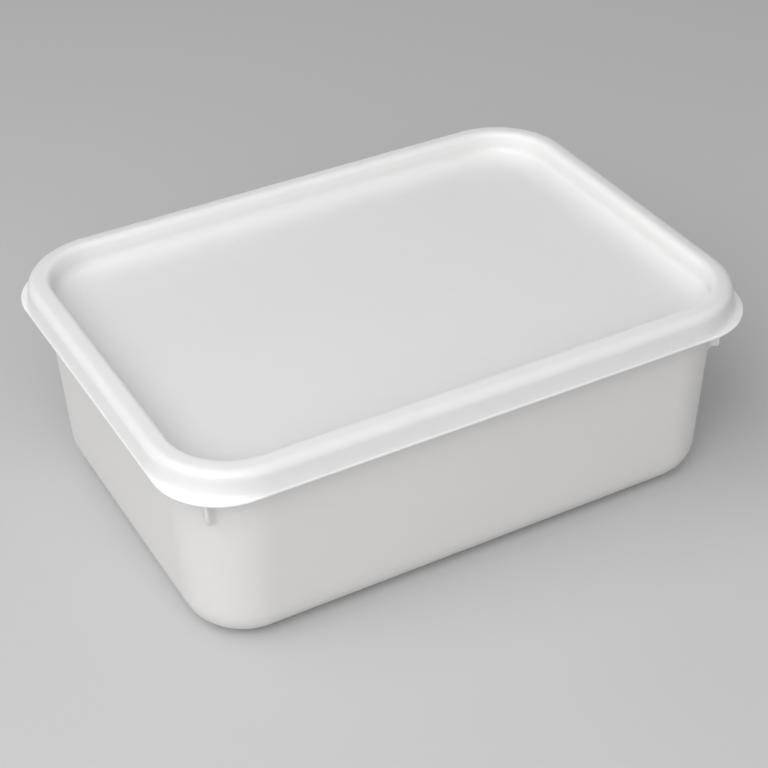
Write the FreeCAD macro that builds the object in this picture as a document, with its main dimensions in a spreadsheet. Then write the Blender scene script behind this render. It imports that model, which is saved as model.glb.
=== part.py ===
import FreeCAD, Part
import math
import os

import Sketcher

# A plain two litre ice cream tub with its press-on lid, shut.
# The frame: origin under the middle of the base, X along the tub, Z up, millimetres.
# Every level of both pieces is a rounded rectangle. It is given by its height above the
# base, by how far it stands in from the edge of the lid's lip (its inset), and by the
# radius of its corners.

DIMENSIONS = [
    # the lid
    ("lid_length", 226.0, "over the lip, along X"),
    ("lid_width", 163.0, "over the lip, along Y"),
    ("lid_top", 80.2, "height of the bead that runs round the lid"),
    ("lid_wall", 1.0, "thickness of the lid's moulding"),
    ("lip_low", 69.8, "height of the lip's lower edge"),
    ("lip_thick", 0.9, "thickness of the lip"),
    ("lip_corner", 24.4, "corner radius of the lip"),
    ("lip_round", 0.3, "rounding of the lip's upper edge"),
    ("ledge_high", 71.2, "height where the sloping ledge meets the skirt"),
    ("ledge_in", 0.4, "inset there"),
    ("ledge_corner", 31.4, "corner radius there"),
    ("bead_out", 1.45, "inset of the bead's outer edge"),
    ("bead_out_corner", 29.95, "corner radius there"),
    ("bead_round", 3.6, "rounding of the bead's outer edge"),
    ("bead_in", 8.9, "inset of the bead's inner edge"),
    ("bead_in_corner", 22.7, "corner radius there"),
    ("bead_in_round", 1.6, "rounding of the bead's inner edge"),
    ("crease_high", 72.7, "height of the crease under the bead's inner face"),
    ("crease_in", 9.0, "inset there"),
    ("crease_corner", 22.6, "corner radius there"),
    ("crease_round", 1.4, "rounding of the crease"),
    ("panel_high", 70.2, "height of the panel's face"),
    ("panel_in", 21.7, "inset where the ramp runs out into the panel"),
    ("panel_corner", 10.9, "corner radius there"),
    # the tub's wall and base
    ("wall_in", 6.2, "inset of the wall under the rim"),
    ("wall_corner", 27.5, "corner radius there"),
    ("base_in", 10.4, "inset of the wall, carried down to the base"),
    ("base_corner", 21.4, "corner radius there"),
    ("base_round", 12.8, "rounding between wall and base"),
    # the tub's rim and fill
    ("rim_low", 71.0, "height of the rim's lower edge"),
    ("rim_in", 3.6, "inset of the rim's face"),
    ("rim_corner", 28.0, "corner radius there"),
    ("mouth_in", 7.0, "inset of the mouth within the rim"),
    ("mouth_corner", 24.5, "corner radius there"),
    ("rim_round", 1.5, "rounding of the rim's two upper edges"),
    ("fill_high", 68.9, "height of the fill"),
    ("fill_in", 7.4, "inset of the mouth at the fill"),
    ("fill_corner", 24.1, "corner radius there"),
    # the gussets that prop the rim at the four corners
    ("gusset_thick", 2.0, "thickness of a gusset"),
    ("gusset_low", 56.0, "height of its lower edge"),
    ("gusset_out", 3.8, "how far it stands out from the wall there"),
    ("gusset_root", 4.0, "how deep it is rooted in the wall"),
    ("gusset_round", 2.4, "rounding between its lower edge and the wall"),
    # under the base
    ("foot_width", 6.0, "width of the ring that the tub stands on"),
    ("foot_corner", 6.0, "corner radius of the recess within the ring"),
    ("foot_depth", 1.0, "depth of the recess"),
    ("foot_draft", 1.5, "how far the recess narrows over its depth"),
    ("gate_radius", 2.5, "radius of the pip left by the moulding gate"),
    ("gate_high", 0.5, "height of the pip"),
]

SIZES = {alias: value for alias, value, _ in DIMENSIONS}
RAMP_SPANS = 4                      # spans between the levels that draw the ramp's curve
SEED_LENGTH, SEED_WIDTH, SEED_CORNER = 200.0, 140.0, 20.0   # an outline before the sheet drives it
TOLERANCE = 1e-3

# Levels of the two pieces, each a height, an inset and a corner radius.
LIP_LOW = ("lip_low", "0", "lip_corner")
LIP_TOP = ("lip_low + lip_thick", "lip_round", "lip_corner - lip_round")
LEDGE = ("ledge_high", "ledge_in", "ledge_corner")
BEAD_OUT = ("lid_top", "bead_out", "bead_out_corner")
BEAD_IN = ("lid_top", "bead_in", "bead_in_corner")
WALL_LOW = ("0", "base_in", "base_corner")
WALL_TOP = ("rim_low", "wall_in", "wall_corner")
RIM_LOW = ("rim_low", "rim_in", "rim_corner")
MOUTH = ("lid_top - lid_wall", "mouth_in", "mouth_corner")
FILL = ("fill_high", "fill_in", "fill_corner")

document = FreeCAD.newDocument("ice_cream_tub")


def make_sheet():
    """The driving dimensions, one to a row."""
    sheet = document.addObject("Spreadsheet::Sheet", "dims")
    for row, (alias, value, meaning) in enumerate(DIMENSIONS, start=1):
        sheet.set("A%d" % row, alias)
        sheet.set("B%d" % row, str(value))
        sheet.set("C%d" % row, meaning)
        sheet.setAlias("B%d" % row, alias)
    document.recompute()


def bound(text):
    """An expression in aliases, with each alias pointed at the sheet."""
    words = text.replace("(", " ( ").replace(")", " ) ").split()
    return " ".join("dims." + word if word in SIZES else word for word in words)


def new_body(label):
    """An empty body, whose label names its file."""
    body = document.addObject("PartDesign::Body", label)
    body.Label = label
    body.Placement = FreeCAD.Placement()
    return body


def origin_plane(body, role):
    """One of a body's own base planes."""
    return next(item for item in body.Origin.OriginFeatures if item.Role == role)


def new_sketch(body, name, role):
    """An empty sketch on one of a body's base planes."""
    sketch = body.newObject("Sketcher::SketchObject", name)
    sketch.AttachmentSupport = (origin_plane(body, role), [""])
    sketch.MapMode = "FlatFace"
    return sketch


def drive(sketch, name, expression, kind, *places):
    """A dimension of a sketch, bound to the sheet."""
    index = sketch.addConstraint(Sketcher.Constraint(kind, *places))
    sketch.renameConstraint(index, name)
    sketch.setExpression("Constraints." + name, bound(expression))


def outline(body, name, level):
    """A rounded rectangle at a level, centred on the frame's Z axis."""
    height, inset, corner = level
    sketch = new_sketch(body, name, "XY_Plane")
    sketch.setExpression(".AttachmentOffset.Base.z", bound(height))
    half_x, half_y = SEED_LENGTH / 2, SEED_WIDTH / 2
    flat_x, flat_y = half_x - SEED_CORNER, half_y - SEED_CORNER
    # four sides anticlockwise from the one at -Y, each followed by its corner
    sides = (((-flat_x, -half_y), (flat_x, -half_y)), ((half_x, -flat_y), (half_x, flat_y)),
             ((flat_x, half_y), (-flat_x, half_y)), ((-half_x, flat_y), (-half_x, -flat_y)))
    centres = ((flat_x, -flat_y), (flat_x, flat_y), (-flat_x, flat_y), (-flat_x, -flat_y))
    for turn, (side, centre) in enumerate(zip(sides, centres)):
        start, end = (FreeCAD.Vector(x, y, 0) for x, y in side)
        sketch.addGeometry(Part.LineSegment(start, end))
        circle = Part.Circle(FreeCAD.Vector(*centre, 0), FreeCAD.Vector(0, 0, 1), SEED_CORNER)
        angle = math.radians(90 * (turn - 1))
        sketch.addGeometry(Part.ArcOfCircle(circle, angle, angle + math.pi / 2))
    for side in (0, 2, 4, 6):
        sketch.addConstraint(Sketcher.Constraint("Tangent", side, 2, side + 1, 1))
        sketch.addConstraint(Sketcher.Constraint("Tangent", side + 1, 2, (side + 2) % 8, 1))
    for arc in (3, 5, 7):
        sketch.addConstraint(Sketcher.Constraint("Equal", 1, arc))
    x_axis, y_axis = -1, -2
    sketch.addConstraint(Sketcher.Constraint("Symmetric", 0, 1, 0, 2, y_axis))
    sketch.addConstraint(Sketcher.Constraint("Symmetric", 2, 1, 2, 2, x_axis))
    sketch.addConstraint(Sketcher.Constraint("Horizontal", 4))
    sketch.addConstraint(Sketcher.Constraint("Vertical", 6))
    drive(sketch, "length", "lid_length - 2 * ( %s )" % inset, "DistanceX", 6, 1, 2, 1, SEED_LENGTH)
    drive(sketch, "width", "lid_width - 2 * ( %s )" % inset, "DistanceY", 0, 1, 4, 1, SEED_WIDTH)
    drive(sketch, "corner", corner, "Radius", 1, SEED_CORNER)
    return sketch


def pad(body, name, level, thickness):
    """A level raised by a thickness."""
    feature = body.newObject("PartDesign::Pad", name)
    feature.Profile = outline(body, name + "_outline", level)
    feature.setExpression("Length", bound(thickness))
    return feature


def loft(body, name, levels, cut=False, smooth=False):
    """Material, or a cavity, drawn through several levels."""
    kind = "PartDesign::SubtractiveLoft" if cut else "PartDesign::AdditiveLoft"
    outlines = [outline(body, "%s_%d" % (name, number), level) for number, level in enumerate(levels)]
    feature = body.newObject(kind, name)
    feature.Profile = outlines[0]
    feature.Sections = outlines[1:]
    feature.Ruled = not smooth
    return feature


def ring(feature, height, inset):
    """The edges of a feature that run round it at a height and an inset."""
    names = []
    for number, edge in enumerate(feature.Shape.Edges, start=1):
        box = edge.BoundBox
        rise = max(abs(box.ZMin - height), abs(box.ZMax - height))
        from_end = SIZES["lid_length"] / 2 - max(abs(box.XMin), abs(box.XMax))
        from_side = SIZES["lid_width"] / 2 - max(abs(box.YMin), abs(box.YMax))
        if rise < TOLERANCE and abs(min(from_end, from_side) - inset) < TOLERANCE:
            names.append("Edge%d" % number)
    return names


def round_off(body, name, base, height, inset, radius):
    """The edges round a feature at a height and an inset, rounded off."""
    document.recompute()
    feature = body.newObject("PartDesign::Fillet", name)
    feature.Base = (base, ring(base, height, inset))
    feature.setExpression("Radius", bound(radius))
    return feature


def walled(level):
    """A level of the lid's outside, on the inside of its wall."""
    height, inset, corner = level
    return height, "%s + lid_wall" % inset, "%s - lid_wall" % corner


def ramp_level(share, wall):
    """A level of the ramp, from the panel at 0 to the crease at 1, on its face or a wall below."""
    height = "panel_high + ( crease_high - panel_high ) * %g - %s" % (share ** 2, wall)
    inset = "panel_in + ( crease_in - panel_in - %s ) * %g" % (wall, share)
    corner = "panel_corner + ( crease_corner - panel_corner + %s ) * %g" % (wall, share)
    return height, inset, corner


def ramp(wall):
    """The ramp's levels, from the crease down to the panel."""
    return [ramp_level(1 - step / RAMP_SPANS, wall) for step in range(RAMP_SPANS + 1)]


def make_lid():
    """The lid: lip, ledge, skirt and bead outside, and a panel sunk within the bead."""
    body = new_body("lid")
    lip = pad(body, "lip", LIP_LOW, "lip_thick")
    round_off(body, "lip_edge", lip, SIZES["lip_low"] + SIZES["lip_thick"], 0, "lip_round")
    loft(body, "ledge", [LIP_TOP, LEDGE])
    skirt = loft(body, "skirt", [LEDGE, BEAD_OUT])
    round_off(body, "bead", skirt, SIZES["lid_top"], SIZES["bead_out"], "bead_round")
    # the space that takes the tub's rim, up to the bead's underside
    lowest = ("lip_low", "ledge_in + lid_wall", "ledge_corner - lid_wall")
    ceiling = ("lid_top - lid_wall", "bead_out + lid_wall", "bead_out_corner - lid_wall")
    space = loft(body, "rim_space", [lowest, walled(LEDGE), ceiling], cut=True)
    under = SIZES["lid_top"] - SIZES["lid_wall"]
    space_in = SIZES["bead_out"] + SIZES["lid_wall"]
    round_off(body, "bead_underside", space, under, space_in, "bead_round - lid_wall")
    # the sunk part, first as a solid plug and then with the recess taken out of it
    plug_top = ("lid_top - lid_wall", "bead_in - lid_wall", "bead_in_corner + lid_wall")
    plug = loft(body, "plug", [plug_top, ramp("lid_wall")[0]])
    plug_in = SIZES["bead_in"] - SIZES["lid_wall"]
    round_off(body, "plug_root", plug, under, plug_in, "bead_in_round - lid_wall")
    loft(body, "plug_ramp", ramp("lid_wall"), smooth=True)
    loft(body, "recess", [BEAD_IN, ramp("0")[0]], cut=True)
    recess = loft(body, "recess_ramp", ramp("0"), cut=True, smooth=True)
    inside = round_off(body, "bead_inside", recess, SIZES["lid_top"], SIZES["bead_in"], "bead_in_round")
    round_off(body, "crease", inside, SIZES["crease_high"], SIZES["crease_in"], "crease_round")
    return body


def gusset_outline(body):
    """A gusset from the side, in the upright plane at 45 degrees through a corner's middle.

    The sketch's X runs out from the axis of the wall's corner, and its Y is the height.
    """
    fall = "( rim_low - gusset_low ) / rim_low"
    inset = "( wall_in + ( base_in - wall_in ) * %s )" % fall
    corner = "( wall_corner + ( base_corner - wall_corner ) * %s )" % fall
    sketch = new_sketch(body, "gusset_outline", "XZ_Plane")
    diagonal = FreeCAD.Rotation(FreeCAD.Vector(0, 1, 0), -45)
    sketch.AttachmentOffset = FreeCAD.Placement(FreeCAD.Vector(), diagonal)
    for axis, span in (("x", "lid_length"), ("z", "lid_width")):
        place = bound("%s / 2 - %s - %s" % (span, inset, corner))
        sketch.setExpression(".AttachmentOffset.Base." + axis, place)
    root, wall, heel, edge = 20, 26, 28, 30         # along X before the sheet drives it
    toe, low, top = 54, 56, 72                      # and along Y
    corners = ((root, toe), (wall, toe), (heel, low), (edge, low), (edge, top), (root, top))
    points = [FreeCAD.Vector(x, y, 0) for x, y in corners]
    circle = Part.Circle(FreeCAD.Vector(heel, toe, 0), FreeCAD.Vector(0, 0, 1), heel - wall)
    sketch.addGeometry(Part.LineSegment(points[0], points[1]))
    sketch.addGeometry(Part.ArcOfCircle(circle, math.pi / 2, math.pi))
    for start, end in ((2, 3), (3, 4), (4, 5), (5, 0)):
        sketch.addGeometry(Part.LineSegment(points[start], points[end]))
    for line in (0, 2, 4):
        sketch.addConstraint(Sketcher.Constraint("Horizontal", line))
    for line in (3, 5):
        sketch.addConstraint(Sketcher.Constraint("Vertical", line))
    sketch.addConstraint(Sketcher.Constraint("Coincident", 0, 2, 1, 2))
    sketch.addConstraint(Sketcher.Constraint("Tangent", 1, 1, 2, 1))
    for line, following in ((2, 3), (3, 4), (4, 5), (5, 0)):
        sketch.addConstraint(Sketcher.Constraint("Coincident", line, 2, following, 1))
    drive(sketch, "root", "%s - gusset_root" % corner, "DistanceX", -1, 1, 0, 1, root)
    drive(sketch, "heel", "%s + gusset_round" % corner, "DistanceX", -1, 1, 1, 3, heel)
    drive(sketch, "edge", "%s + gusset_out" % corner, "DistanceX", -1, 1, 3, 1, edge)
    drive(sketch, "toe", "gusset_low - gusset_round", "DistanceY", -1, 1, 0, 1, toe)
    drive(sketch, "heel_height", "gusset_low - gusset_round", "DistanceY", -1, 1, 1, 3, toe)
    drive(sketch, "top", "rim_low + lid_wall / 2", "DistanceY", -1, 1, 3, 2, top)
    drive(sketch, "round", "gusset_round", "Radius", 1, heel - wall)
    return sketch


def add_gussets(body):
    """A gusset under the rim at each of the four corners."""
    first = body.newObject("PartDesign::Pad", "gusset")
    first.Profile = gusset_outline(body)
    first.SideType = "Symmetric"
    first.setExpression("Length", bound("gusset_thick"))
    four = body.newObject("PartDesign::MultiTransform", "gussets")
    four.Originals = [first]
    mirrors = []
    for name, role in (("across_ends", "YZ_Plane"), ("across_sides", "XZ_Plane")):
        mirror = body.newObject("PartDesign::Mirrored", name)
        mirror.MirrorPlane = (origin_plane(body, role), [""])
        mirrors.append(mirror)
    four.Transformations = mirrors
    body.Tip = four


def add_foot(body):
    """The recess under the base, which leaves a ring to stand on, and the pip of the gate."""
    inset, corner = "base_in + base_round + foot_width", "foot_corner"
    mouth = ("0", inset, corner)
    roof = ("foot_depth", "%s + foot_draft" % inset, "%s - foot_draft" % corner)
    loft(body, "foot_recess", [mouth, roof], cut=True)
    sketch = new_sketch(body, "gate_outline", "XY_Plane")
    sketch.setExpression(".AttachmentOffset.Base.z", bound("foot_depth - gate_high"))
    sketch.addGeometry(Part.Circle(FreeCAD.Vector(), FreeCAD.Vector(0, 0, 1), SIZES["gate_radius"]))
    sketch.addConstraint(Sketcher.Constraint("Coincident", 0, 3, -1, 1))
    drive(sketch, "radius", "gate_radius", "Radius", 0, SIZES["gate_radius"])
    pip = body.newObject("PartDesign::Pad", "gate")
    pip.Profile = sketch
    pip.setExpression("Length", bound("2 * gate_high"))


def make_tub():
    """The filled tub: one solid out to its wall and rim, with the fill sunk below the rim."""
    body = new_body("tub")
    pad(body, "rim", RIM_LOW, "lid_top - lid_wall - rim_low")
    wall = loft(body, "wall", [WALL_LOW, WALL_TOP])
    round_off(body, "base_edge", wall, 0, SIZES["base_in"], "base_round")
    mouth = loft(body, "mouth", [MOUTH, FILL], cut=True)
    rim_top = SIZES["lid_top"] - SIZES["lid_wall"]
    outer = round_off(body, "rim_outer_edge", mouth, rim_top, SIZES["rim_in"], "rim_round")
    round_off(body, "rim_inner_edge", outer, rim_top, SIZES["mouth_in"], "rim_round")
    add_gussets(body)
    add_foot(body)
    return body


def check(bodies):
    """Stop unless every object is sound and each body is one valid solid."""
    for item in document.Objects:
        if "Invalid" in item.State or "Error" in item.State:
            raise RuntimeError("%s failed: %s" % (item.Name, item.State))
    for body in bodies:
        shape = body.Shape
        if shape.isNull() or not shape.isValid() or len(shape.Solids) != 1:
            raise RuntimeError("%s is not one valid solid" % body.Label)


make_sheet()
bodies = [make_tub(), make_lid()]
document.recompute()
check(bodies)
os.makedirs("parts", exist_ok=True)
for made in bodies:
    made.Shape.exportStep("parts/%s.step" % made.Label)
    box = made.Shape.optimalBoundingBox(False, False)
    size = " x ".join("%.1f" % side for side in (box.XLength, box.YLength, box.ZLength))
    print("%s: %s mm, %.1f cm3" % (made.Label, size, made.Shape.Volume / 1000))
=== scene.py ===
import math

import bpy
from mathutils import Matrix, Vector, noise


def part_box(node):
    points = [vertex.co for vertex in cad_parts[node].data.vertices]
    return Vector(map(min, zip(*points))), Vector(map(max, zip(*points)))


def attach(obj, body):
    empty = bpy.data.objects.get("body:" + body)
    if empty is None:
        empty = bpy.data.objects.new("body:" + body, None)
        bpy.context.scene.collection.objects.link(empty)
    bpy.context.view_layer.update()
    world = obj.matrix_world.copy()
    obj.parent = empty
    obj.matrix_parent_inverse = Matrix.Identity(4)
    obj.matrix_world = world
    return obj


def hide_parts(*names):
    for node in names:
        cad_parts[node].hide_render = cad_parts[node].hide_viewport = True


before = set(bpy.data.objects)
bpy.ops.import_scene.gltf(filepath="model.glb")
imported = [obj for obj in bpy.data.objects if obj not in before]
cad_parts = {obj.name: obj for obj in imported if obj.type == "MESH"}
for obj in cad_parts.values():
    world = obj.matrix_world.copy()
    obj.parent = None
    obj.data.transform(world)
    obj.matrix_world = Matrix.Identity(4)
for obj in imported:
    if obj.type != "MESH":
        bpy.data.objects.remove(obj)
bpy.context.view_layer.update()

# A shut two litre ice cream tub with its press-on lid, moulded in white polypropylene.
# X runs along the tub, Z is up, and the tub stands on Z = 0. Sections are in millimetres,
# and everything that is made from them is in metres.
#
# Both mouldings are stacks of rounded rectangles. A level of a section is given by its inset
# (how far it stands in from the edge of the lid's lip), its height above the floor, and the
# corner radius of the rectangle there. A turn is a level followed by the rounding of the
# section there, and one with no rounding stays a point.

MM = 0.001
HALF_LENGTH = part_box("lid")[1].x / MM
HALF_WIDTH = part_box("lid")[1].y / MM
BEAD_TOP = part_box("lid")[1].z / MM
LID_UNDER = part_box("lid")[0].z / MM
RIM_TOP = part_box("tub")[1].z / MM

# the lid's upper face, from the sunk panel out over the bead and down the skirt
LID_WALL = 1.0
PANEL = LID_UNDER + LID_WALL
PANEL_EDGE = (21.7, PANEL, 10.9)
CREASE = (9.3, BEAD_TOP - 7.5, 22.3, 3.0)
BEAD_INNER = (9.2, BEAD_TOP + 0.38, 22.4, 2.2)
BEAD_CROWN = (5.6, BEAD_TOP + 0.14, 25.9, 9.0)
BEAD_OUTER = (1.45, BEAD_TOP - 0.3, 29.95, 3.6)
SKIRT_FOOT = (0.5, LID_UNDER + 2.9, 31.2, 0.6)
# the lip, whose tighter corners stand out past the skirt's
LIP_TOP = LID_UNDER + 1.5
LIP_LOW = LID_UNDER + 0.6
LIP_CORNER = 24.4
LIP_RUN_OUT = ((0.33, LIP_TOP + 0.25, 30.3, 0), (0.28, LIP_TOP + 0.1, 29.6, 0), (0.1, LIP_TOP, 24.5, 0))
LIP_EDGE = (
    (0.03, LIP_TOP - 0.06, LIP_CORNER, 0),
    (0.0, LIP_TOP - 0.2, LIP_CORNER, 0),
    (0.0, LIP_LOW, LIP_CORNER, 0.25),
)
# underneath, the channel that takes the tub's rim
CHANNEL_IN, CHANNEL_CORNER = 1.4, 30.4
CHANNEL_ROOF = RIM_TOP + 0.02
CHANNEL = (
    (CHANNEL_IN, LIP_LOW, CHANNEL_CORNER, 0.2),
    (CHANNEL_IN, LID_UNDER + 2.0, CHANNEL_CORNER, 0.4),
    (2.45, CHANNEL_ROOF, 28.95, 2.5),
    (7.9, CHANNEL_ROOF, 23.7, 0.6),
)
UNDER_CREASE = (CREASE[0] - LID_WALL, CREASE[1] - LID_WALL, CREASE[2] + LID_WALL, 1.4)
RAMP_STEPS = 14
RAMP_END = 0.83                     # share of the way to the crease where its rounding starts

# the tub, from the fill over the rim, down the wall and in under the base
FILL_TOP = RIM_TOP - 10.3
FILL = ((12.0, FILL_TOP, 19.5, 0), (7.4, FILL_TOP, 24.1, 0.5))
WALL_TOP = (6.2, RIM_TOP - 8.2, 27.5)
WALL_FOOT = (10.4, 0.0, 21.4)
RIM = ((7.0, RIM_TOP, 24.5, 1.5), (3.6, RIM_TOP, 28.0, 1.5), (3.6, WALL_TOP[1], 28.0, 0.4))
UNDER_RIM_ROUND = 0.6
BASE_ROUND = 12.8
RECESS_DEPTH = 1.0
RECESS = ((29.2, 0.0, 6.0, 0.4), (30.7, RECESS_DEPTH, 4.5, 0.5), (36.0, RECESS_DEPTH, 4.0, 0))
WALL_STEPS = 12
WALL_START = WALL_TOP[1] - 1.2      # the wall's levels start here, clear of the rounding under the rim,
WALL_END = BASE_ROUND + 2.0         # and end here, clear of the rounding at the base

# the pip that the moulding gate leaves in the middle of the base
GATE_RADIUS = 2.5
# its rings: each one's share of the radius of the one before, and its step down from it
GATE_SIDE = ((0.94, 0.06), (0.9, 0.425), (0.8, 0.5))

# the gussets under the rim at the corners
GUSSET_LOW = 56.0
GUSSET_OUT = 3.8
GUSSET_LIP = 0.15                   # height over which the gusset's lower edge turns
GUSSET_FLARE = (1.7, 3.2, 1.8)      # under a gusset: how far out and how high it flares, and its curve
GUSSET_STEPS = 4
FLARE_STEPS = 5
# a gusset's section: distance from its middle plane, and share of its depth reached there
GUSSET_SECTION = ((0.0, 1.0), (0.4, 0.97), (0.7, 0.86), (1.0, 0.6),
                  (1.3, 0.34), (1.7, 0.14), (2.2, 0.04), (2.8, 0.0))
GUSSET_CLEARANCE = 1.3              # share of that section's half width kept clear of the corner's own steps
TOLERANCE = 0.01

# how a moulding warps as it cools: how far, over what distance, and the key of its field
PANEL_WARP = (0.35, 75, 3.1)
PANEL_WARP_START, PANEL_WARP_RUN = 12, 30       # it sets in at this inset, and is full after this run
LIP_WARP = (0.12, 60, 8.4)
LIP_WARP_HIGH, LIP_WARP_IN = 1.5, 4             # it reaches this far above the panel, and this far in

ARC_STEPS = 6                       # steps round a rounded turn of a section
CORNER_STEPS = 26                   # steps round a corner of a ring
LENGTH_STEPS = 48                   # steps along a long side of a ring
WIDTH_STEPS = 34                    # steps along a short side
CAP_SHARES = (0.12, 0.3, 0.5, 0.7, 0.86, 1.0)   # rings of a flat, from its outline in to the gate


# ---- sections -------------------------------------------------------------------------

def mix(start, end, share):
    """The point at a share of the way from one point to another."""
    return tuple(a + (b - a) * share for a, b in zip(start, end))


def turned(before, turn, after):
    """The points round one turn of a section, on an arc of its rounding."""
    point, rounding = turn[:3], turn[3]
    arrive = Vector(before[:2]) - Vector(point[:2])
    leave = Vector(after[:2]) - Vector(point[:2])
    bend = math.pi - arrive.angle(leave)
    reach = rounding * math.tan(bend / 2)
    start = mix(point, before[:3], reach / arrive.length)
    end = mix(point, after[:3], reach / leave.length)
    pull = math.cos(bend / 2)
    points = []
    for step in range(ARC_STEPS + 1):
        share = step / ARC_STEPS
        weights = ((1 - share) ** 2, 2 * pull * share * (1 - share), share ** 2)
        total = sum(weights)
        parts = zip(start, point, end)
        points.append(tuple(sum(w * part for w, part in zip(weights, trio)) / total for trio in parts))
    return points


def section(turns):
    """A section through its turns, each rounded off."""
    points = [turns[0][:3]]
    for before, turn, after in zip(turns, turns[1:], turns[2:]):
        points += turned(before, turn, after) if turn[3] else [turn[:3]]
    return points + [turns[-1][:3]]


def ramp(drop):
    """The ramp's curve from the panel out towards the crease, on its face or a drop below."""
    outer = (CREASE[0] - drop, CREASE[1], CREASE[2] + drop)
    points = []
    for step in range(RAMP_STEPS):
        share = RAMP_END * step / (RAMP_STEPS - 1)
        inset, _, corner = mix(PANEL_EDGE, outer, share)
        height = PANEL + (CREASE[1] - PANEL) * share ** 2 - drop
        points.append((inset, height, corner, 0))
    return points


def lid_section():
    """The lid, from the panel's edge out over the bead to the lip and back underneath."""
    over = (CREASE, BEAD_INNER, BEAD_CROWN, BEAD_OUTER, SKIRT_FOOT, *LIP_RUN_OUT)
    under = (*LIP_EDGE, *CHANNEL, UNDER_CREASE)
    return section([*ramp(0), *over, *under, *reversed(ramp(LID_WALL))])


def wall_heights():
    """Heights down the tub's wall, close together where the gussets' lower edges turn."""
    heights = [WALL_START - (WALL_START - GUSSET_LOW) * step / GUSSET_STEPS for step in range(GUSSET_STEPS)]
    heights += [GUSSET_LOW + GUSSET_LIP, GUSSET_LOW]
    for step in range(1, FLARE_STEPS + 1):
        heights.append(GUSSET_LOW - GUSSET_FLARE[1] * step / FLARE_STEPS)
    last = heights[-1]
    heights += [last + (WALL_END - last) * step / WALL_STEPS for step in range(1, WALL_STEPS + 1)]
    return heights


def tub_section():
    """The tub, from the edge of the fill over the rim and down the wall to the recess in the base."""
    wall = [(*mix(WALL_FOOT, WALL_TOP, height / WALL_TOP[1]), 0) for height in wall_heights()]
    return section([*FILL, *RIM, (*WALL_TOP, UNDER_RIM_ROUND), *wall, (*WALL_FOOT, BASE_ROUND), *RECESS])


# ---- meshes ---------------------------------------------------------------------------

def even_turns():
    """Angles round a quarter turn, evenly spaced."""
    return [math.pi / 2 * step / CORNER_STEPS for step in range(CORNER_STEPS + 1)]


def gusset_turns():
    """Angles round a quarter turn of the tub, close together over the gusset at its middle."""
    middle, radius = math.pi / 4, WALL_TOP[2]
    near = [across / radius for across, _ in GUSSET_SECTION]
    clear = middle - near[-1] * GUSSET_CLEARANCE
    low = [angle for angle in even_turns() if angle < clear]
    rise = [middle - angle for angle in reversed(near)] + [middle + angle for angle in near[1:]]
    return low + rise + [math.pi / 2 - angle for angle in reversed(low)]


def ring(level, turns):
    """A rounded rectangle at a level, anticlockwise from the start of its corner at +X and -Y."""
    inset, height, corner = level
    flat_x, flat_y = HALF_LENGTH - inset - corner, HALF_WIDTH - inset - corner
    centres = ((flat_x, -flat_y), (flat_x, flat_y), (-flat_x, flat_y), (-flat_x, -flat_y))
    sides = (WIDTH_STEPS, LENGTH_STEPS, WIDTH_STEPS, LENGTH_STEPS)
    points = []
    for quarter, (x, y) in enumerate(centres):
        for turn in turns:
            angle = turn + math.pi / 2 * (quarter - 1)
            points.append(Vector((x + corner * math.cos(angle), y + corner * math.sin(angle), height)))
        next_x, next_y = centres[(quarter + 1) % 4]
        along = Vector((next_x - x, next_y - y, 0))
        last = points[-1]
        points += [last + along * (step / sides[quarter]) for step in range(1, sides[quarter])]
    return points


def flat(outline):
    """Rings over a flat, from its outline in to the circle of the gate."""
    rings = []
    for share in CAP_SHARES:
        drawn = []
        for point in outline:
            gate = Vector((point.x, point.y, 0)).normalized() * GATE_RADIUS
            drawn.append(point.lerp(gate + Vector((0, 0, point.z)), share))
        rings.append(drawn)
    return rings


def pip(outline):
    """Rings over the pip of the gate, which stands down from its circle."""
    rings = []
    for shrink, fall in GATE_SIDE:
        outline = [Vector((p.x * shrink, p.y * shrink, p.z - fall)) for p in outline]
        rings.append(outline)
    return rings


def moulding(name, rings):
    """A closed mesh over a stack of rings, with its first and last ring closed to a point."""
    around = len(rings[0])
    points = [point for drawn in rings for point in drawn]
    faces = []
    for level in range(len(rings) - 1):
        low, high = level * around, (level + 1) * around
        for step in range(around):
            after = (step + 1) % around
            faces.append((low + step, low + after, high + after, high + step))
    for level, flip in ((0, True), (len(rings) - 1, False)):
        drawn = rings[level]
        points.append(sum(drawn, Vector()) / around)
        hub = len(points) - 1
        for step in range(around):
            after = (step + 1) % around
            pair = (after, step) if flip else (step, after)
            faces.append((hub, level * around + pair[0], level * around + pair[1]))
    mesh = bpy.data.meshes.new(name)
    mesh.from_pydata([point * MM for point in points], [], faces)
    mesh.validate()
    mesh.shade_smooth()
    piece = bpy.data.objects.new(name, mesh)
    bpy.context.scene.collection.objects.link(piece)
    soften = piece.modifiers.new("even_shading", "WEIGHTED_NORMAL")
    soften.weight = 100
    soften.keep_sharp = True
    return piece


def warp(point, reach, scale, key):
    """How far a moulding is out of true at a point, from a smooth field."""
    return noise.noise(Vector((point.x / scale, point.y / scale, point.z / scale + key))) * reach


def make_lid():
    """The lid, with the slight cooling warp of its panel and lip."""
    stack = [ring(level, even_turns()) for level in lid_section()]
    rings = flat(stack[0])[::-1] + stack + flat(stack[-1])
    for drawn in rings:
        for point in drawn:
            inward = min(HALF_LENGTH - abs(point.x), HALF_WIDTH - abs(point.y))
            slack = min(max((inward - PANEL_WARP_START) / PANEL_WARP_RUN, 0), 1)
            point.z += warp(point, *PANEL_WARP) * slack
            if point.z < PANEL + LIP_WARP_HIGH and inward < LIP_WARP_IN:
                point.z += warp(point, *LIP_WARP)
    return moulding("lid_moulding", rings)


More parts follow.
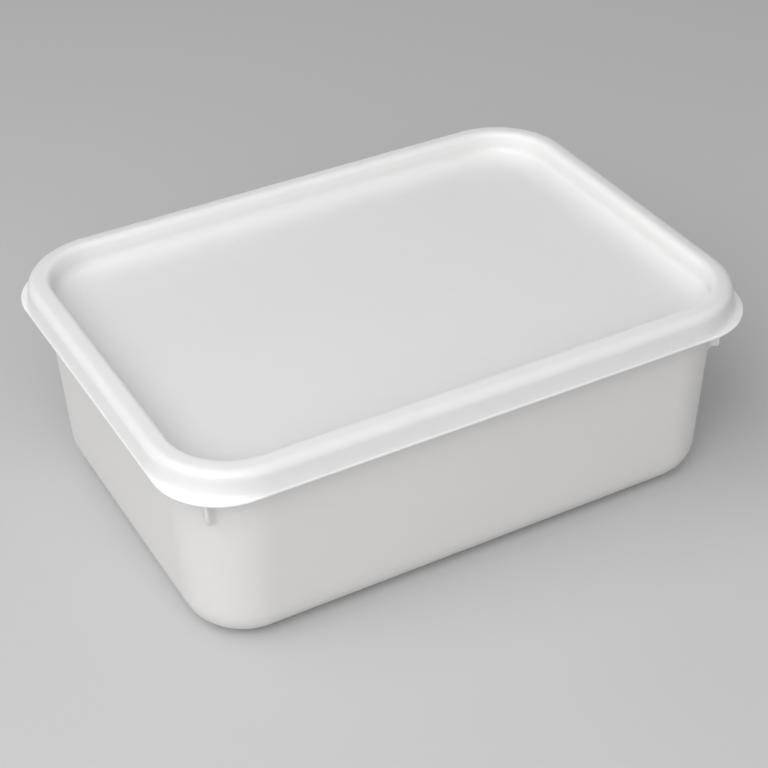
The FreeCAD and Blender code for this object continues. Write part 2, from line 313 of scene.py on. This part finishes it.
def gusset_depth(height):
    """How far a gusset stands out from the wall's corner at a height."""
    def reach(level):
        inset, _, corner = mix(WALL_FOOT, WALL_TOP, level / WALL_TOP[1])
        return corner - math.sqrt(2) * (inset + corner)

    if height >= GUSSET_LOW + GUSSET_LIP / 2:
        return GUSSET_OUT + reach(GUSSET_LOW) - reach(height)
    out, high, curve = GUSSET_FLARE
    rise = min(max(height - (GUSSET_LOW - high), 0), high)
    return out * (rise / high) ** curve


def gusset_share(across):
    """The share of its depth that a gusset has at a distance from its middle plane."""
    for near, far in zip(GUSSET_SECTION, GUSSET_SECTION[1:]):
        if across <= far[0]:
            return near[1] + (far[1] - near[1]) * (across - near[0]) / (far[0] - near[0])
    return 0.0


def add_gussets(stack, levels):
    """Draw the corners of the wall's rings out into the four gussets."""
    for drawn, (inset, height, corner) in zip(stack, levels):
        in_wall = inset >= WALL_TOP[0] - TOLERANCE
        if not (in_wall and GUSSET_LOW - GUSSET_FLARE[1] < height <= WALL_TOP[1]):
            continue
        centre = (HALF_LENGTH - inset - corner, HALF_WIDTH - inset - corner)
        for point in drawn:
            out = Vector((abs(point.x) - centre[0], abs(point.y) - centre[1]))
            if min(out) <= 0:
                continue
            across = abs(out.x - out.y) / math.sqrt(2)
            push = gusset_depth(height) * gusset_share(across) / math.sqrt(2)
            point.x += math.copysign(push, point.x)
            point.y += math.copysign(push, point.y)


def make_tub():
    """The filled tub, with its gussets and the recess and pip under its base."""
    levels = tub_section()
    stack = [ring(level, gusset_turns()) for level in levels]
    add_gussets(stack, levels)
    base = flat(stack[-1])
    return moulding("tub_moulding", flat(stack[0])[::-1] + stack + base + pip(base[-1]))


# ---- finishes -------------------------------------------------------------------------

MILKY_SPREAD = (1.0, 0.99, 0.97)    # how far red, green and blue light spread in the plastic, as shares
MILKY_WEIGHT = 0.9
PLASTIC_IOR = 1.49
WORN_WHITE = (0.93, 0.925, 0.915)   # an edge that handling has whitened
SHEEN_SPREAD = 0.05                 # how far the sheen strays to either side
RUB_DULLING = 0.12                  # how much duller a rubbed place is


def tree_node(tree, kind, **values):
    """A node of a kind, with its settings and the values of its sockets."""
    node = tree.nodes.new(kind)
    for name, value in values.items():
        if hasattr(node, name):
            setattr(node, name, value)
        else:
            node.inputs[name.replace("_", " ")].default_value = value
    return node


def product(tree, first, second, clamp=True):
    """The product of two results, kept between 0 and 1 unless told otherwise."""
    node = tree_node(tree, "ShaderNodeMath", operation="MULTIPLY", use_clamp=clamp)
    tree.links.new(first, node.inputs[0])
    tree.links.new(second, node.inputs[1])
    return node.outputs[0]


def effect(name, numbers, results):
    """An empty node group with number inputs and number results."""
    group = bpy.data.node_groups.new(name, "ShaderNodeTree")
    for label, value in numbers.items():
        socket = group.interface.new_socket(name=label, in_out="INPUT", socket_type="NodeSocketFloat")
        socket.default_value = value
    for label in results:
        group.interface.new_socket(name=label, in_out="OUTPUT", socket_type="NodeSocketFloat")
    entry = group.nodes.new("NodeGroupInput")
    leave = group.nodes.new("NodeGroupOutput")
    return group, entry, leave


def place(tree, group, **values):
    """A node group placed in a material, with its own values."""
    node = tree.nodes.new("ShaderNodeGroup")
    node.node_tree = group
    for name, value in values.items():
        node.inputs[name.replace("_", " ")].default_value = value
    return node


def mould_skin():
    """The skin a mould leaves: a slow ripple with a fine spark-eroded grain over it."""
    group, entry, leave = effect("mould_skin", {"Ripple": 1.0, "Grain": 1.0}, ("Height", "Sheen Break"))
    link = group.links.new
    where = group.nodes.new("ShaderNodeTexCoord")
    ripple = tree_node(group, "ShaderNodeTexNoise", Scale=140.0, Detail=2.0, Roughness=0.4)
    grain = tree_node(group, "ShaderNodeTexNoise", Scale=2600.0, Detail=3.0, Roughness=0.6)
    both = tree_node(group, "ShaderNodeMath", operation="ADD")
    for number, (label, texture) in enumerate((("Ripple", ripple), ("Grain", grain))):
        link(where.outputs["Object"], texture.inputs["Vector"])
        share = product(group, texture.outputs["Fac"], entry.outputs[label], clamp=False)
        link(share, both.inputs[number])
    link(both.outputs[0], leave.inputs["Height"])
    link(grain.outputs["Fac"], leave.inputs["Sheen Break"])
    return group


def handling_marks():
    """Faint rubs and hairline scuffs, scattered and mostly short."""
    group, entry, leave = effect("handling_marks", {"Amount": 0.5}, ("Rub", "Hairline"))
    link = group.links.new
    where = group.nodes.new("ShaderNodeTexCoord")
    patches = tree_node(group, "ShaderNodeTexNoise", Scale=38.0, Detail=5.0, Roughness=0.62)
    link(where.outputs["Object"], patches.inputs["Vector"])
    band = tree_node(group, "ShaderNodeMapRange", From_Min=0.5, From_Max=0.78)
    link(patches.outputs["Fac"], band.inputs["Value"])
    rub = product(group, band.outputs["Result"], entry.outputs["Amount"])
    link(rub, leave.inputs["Rub"])
    stretch = tree_node(group, "ShaderNodeMapping", Rotation=(0.3, 0.2, 0.9), Scale=(24.0, 900.0, 300.0))
    link(where.outputs["Object"], stretch.inputs["Vector"])
    threads = tree_node(group, "ShaderNodeTexNoise", Scale=1.0, Detail=1.0, Distortion=0.25)
    link(stretch.outputs[0], threads.inputs["Vector"])
    peaks = tree_node(group, "ShaderNodeMapRange", From_Min=0.7, From_Max=0.8)
    link(threads.outputs["Fac"], peaks.inputs["Value"])
    link(product(group, peaks.outputs["Result"], rub), leave.inputs["Hairline"])
    return group


def milky_flow():
    """The slow clouding of a milky plastic, drawn out along its flow from the gate."""
    group, entry, leave = effect("milky_flow", {"Amount": 1.0}, ("Cloud",))
    link = group.links.new
    where = group.nodes.new("ShaderNodeTexCoord")
    drawn = tree_node(group, "ShaderNodeMapping", Scale=(9.0, 17.0, 13.0))
    link(where.outputs["Object"], drawn.inputs["Vector"])
    cloud = tree_node(group, "ShaderNodeTexNoise", Scale=1.0, Detail=4.0, Roughness=0.55, Distortion=0.6)
    link(drawn.outputs[0], cloud.inputs["Vector"])
    link(product(group, cloud.outputs["Fac"], entry.outputs["Amount"]), leave.inputs["Cloud"])
    return group


def worn_edges():
    """The rubbed, slightly whitened crest of an edge that sticks out."""
    group, entry, leave = effect("worn_edges", {"Amount": 1.0}, ("Crest",))
    link = group.links.new
    shape = group.nodes.new("ShaderNodeNewGeometry")
    crest = tree_node(group, "ShaderNodeMapRange", From_Min=0.52, From_Max=0.6)
    link(shape.outputs["Pointiness"], crest.inputs["Value"])
    link(product(group, crest.outputs["Result"], entry.outputs["Amount"]), leave.inputs["Crest"])
    return group


def white_plastic(name, effects, clear, cloudy, sheen, depth, milkiness):
    """White polypropylene: satin, clouded between two tones, and milky to a depth in metres."""
    material = bpy.data.materials.new(name)
    material.use_nodes = True
    tree = material.node_tree
    link = tree.links.new
    shader = tree.nodes["Principled BSDF"]
    skin = place(tree, effects["skin"], Ripple=1.0, Grain=0.05)
    marks = place(tree, effects["marks"], Amount=0.4)
    flow = place(tree, effects["flow"], Amount=1.0)
    worn = place(tree, effects["worn"], Amount=0.25)

    tone = tree_node(tree, "ShaderNodeMix", data_type="RGBA")
    tone.inputs["A"].default_value = (*clear, 1)
    tone.inputs["B"].default_value = (*cloudy, 1)
    link(flow.outputs["Cloud"], tone.inputs["Factor"])
    crest = tree_node(tree, "ShaderNodeMix", data_type="RGBA")
    link(worn.outputs["Crest"], crest.inputs["Factor"])
    link(tone.outputs["Result"], crest.inputs["A"])
    crest.inputs["B"].default_value = (*WORN_WHITE, 1)
    link(crest.outputs["Result"], shader.inputs["Base Color"])

    satin = tree_node(tree, "ShaderNodeMapRange", To_Min=sheen - SHEEN_SPREAD, To_Max=sheen + SHEEN_SPREAD)
    link(skin.outputs["Sheen Break"], satin.inputs["Value"])
    rubbed = tree_node(tree, "ShaderNodeMath", operation="MULTIPLY_ADD")
    rubbed.inputs[1].default_value = RUB_DULLING
    link(marks.outputs["Rub"], rubbed.inputs[0])
    link(satin.outputs["Result"], rubbed.inputs[2])
    link(rubbed.outputs[0], shader.inputs["Roughness"])

    relief = tree_node(tree, "ShaderNodeMath", operation="SUBTRACT")
    link(skin.outputs["Height"], relief.inputs[0])
    link(marks.outputs["Hairline"], relief.inputs[1])
    bump = tree_node(tree, "ShaderNodeBump", Strength=0.6, Distance=depth)
    link(relief.outputs[0], bump.inputs["Height"])
    link(bump.outputs["Normal"], shader.inputs["Normal"])

    shader.inputs["IOR"].default_value = PLASTIC_IOR
    shader.inputs["Subsurface Weight"].default_value = MILKY_WEIGHT
    shader.inputs["Subsurface Radius"].default_value = MILKY_SPREAD
    shader.inputs["Subsurface Scale"].default_value = milkiness
    return material


def finish_piece(piece, node, material):
    """Give a moulding its plastic, stand it for its solid and let it ride with the tub."""
    piece.data.materials.append(material)
    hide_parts(node)
    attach(piece, "root")


# ---- studio ---------------------------------------------------------------------------

TUB_MIDDLE = Vector((0, 0, 0.0435))
FLOOR_GREY = (0.55, 0.55, 0.55)
LIGHT_REACH = 1.15                  # metres from the tub to a light
SKY_STRENGTH = 0.31


def paint(name, colour, roughness):
    """A plain matt paint for the studio."""
    material = bpy.data.materials.new(name)
    material.use_nodes = True
    shader = material.node_tree.nodes["Principled BSDF"]
    shader.inputs["Base Color"].default_value = (*colour, 1)
    shader.inputs["Roughness"].default_value = roughness
    return material


def make_floor():
    """A plain pale floor."""
    half = 6.0
    mesh = bpy.data.meshes.new("floor")
    corners = [(-half, -half, 0), (half, -half, 0), (half, half, 0), (-half, half, 0)]
    mesh.from_pydata(corners, [], [(0, 1, 2, 3)])
    mesh.materials.append(paint("floor_paint", FLOOR_GREY, 0.8))
    floor = bpy.data.objects.new("floor", mesh)
    bpy.context.scene.collection.objects.link(floor)


def direction(azimuth, elevation):
    """The way from the tub out to something: azimuth 0 is -Y and -90 is -X, in degrees."""
    turn, rise = math.radians(azimuth), math.radians(elevation)
    return Vector((math.sin(turn) * math.cos(rise), -math.cos(turn) * math.cos(rise), math.sin(rise)))


def softbox(name, azimuth, elevation, size, power):
    """A square soft light that faces the tub from a given way."""
    data = bpy.data.lights.new(name, "AREA")
    data.shape = "SQUARE"
    data.size = size
    data.energy = power
    light = bpy.data.objects.new(name, data)
    out = direction(azimuth, elevation)
    light.location = TUB_MIDDLE + out * LIGHT_REACH
    light.rotation_euler = out.to_track_quat("Z", "Y").to_euler()
    bpy.context.scene.collection.objects.link(light)


def make_lights():
    """Two broad soft lights, to the left and in front, a little fill, and a weak even sky."""
    softbox("left", azimuth=-76, elevation=50, size=1.2, power=8.8)
    softbox("front", azimuth=-30, elevation=36, size=1.0, power=6.6)
    softbox("right", azimuth=80, elevation=16, size=0.5, power=0.6)
    softbox("behind", azimuth=150, elevation=16, size=0.5, power=0.6)
    world = bpy.data.worlds.new("studio")
    bpy.context.scene.world = world
    world.use_nodes = True
    sky = world.node_tree.nodes["Background"]
    sky.inputs["Color"].default_value = (1, 1, 1, 1)
    sky.inputs["Strength"].default_value = SKY_STRENGTH


def make_camera():
    """A long lens that looks down on the tub past its near left corner."""
    azimuth, elevation = -28.35, 34.8
    distance, lens = 0.690, 87.84
    roll, swing, nod = math.radians(-1.1), math.radians(-0.13), math.radians(-0.75)
    back = direction(azimuth, elevation)
    data = bpy.data.cameras.new("camera")
    data.lens = lens
    camera = bpy.data.objects.new("camera", data)
    turn = back.to_track_quat("Z", "Y").to_matrix()
    for angle, axis in ((roll, "Z"), (swing, "Y"), (nod, "X")):
        turn = turn @ Matrix.Rotation(angle, 3, axis)
    camera.matrix_world = Matrix.Translation(TUB_MIDDLE + back * distance) @ turn.to_4x4()
    bpy.context.scene.collection.objects.link(camera)
    bpy.context.scene.camera = camera


make_camera()
make_lights()
make_floor()
bpy.context.scene.view_settings.view_transform = "Standard"

effects = {"skin": mould_skin(), "marks": handling_marks(), "flow": milky_flow(), "worn": worn_edges()}
tub_plastic = white_plastic(
    "tub_plastic", effects, clear=(0.752, 0.743, 0.734), cloudy=(0.723, 0.714, 0.705),
    sheen=0.42, depth=0.00004, milkiness=0.003,
)
lid_plastic = white_plastic(
    "lid_plastic", effects, clear=(0.936, 0.922, 0.911), cloudy=(0.919, 0.904, 0.893),
    sheen=0.38, depth=0.00003, milkiness=0.0035,
)
finish_piece(make_tub(), "tub", tub_plastic)
finish_piece(make_lid(), "lid", lid_plastic)
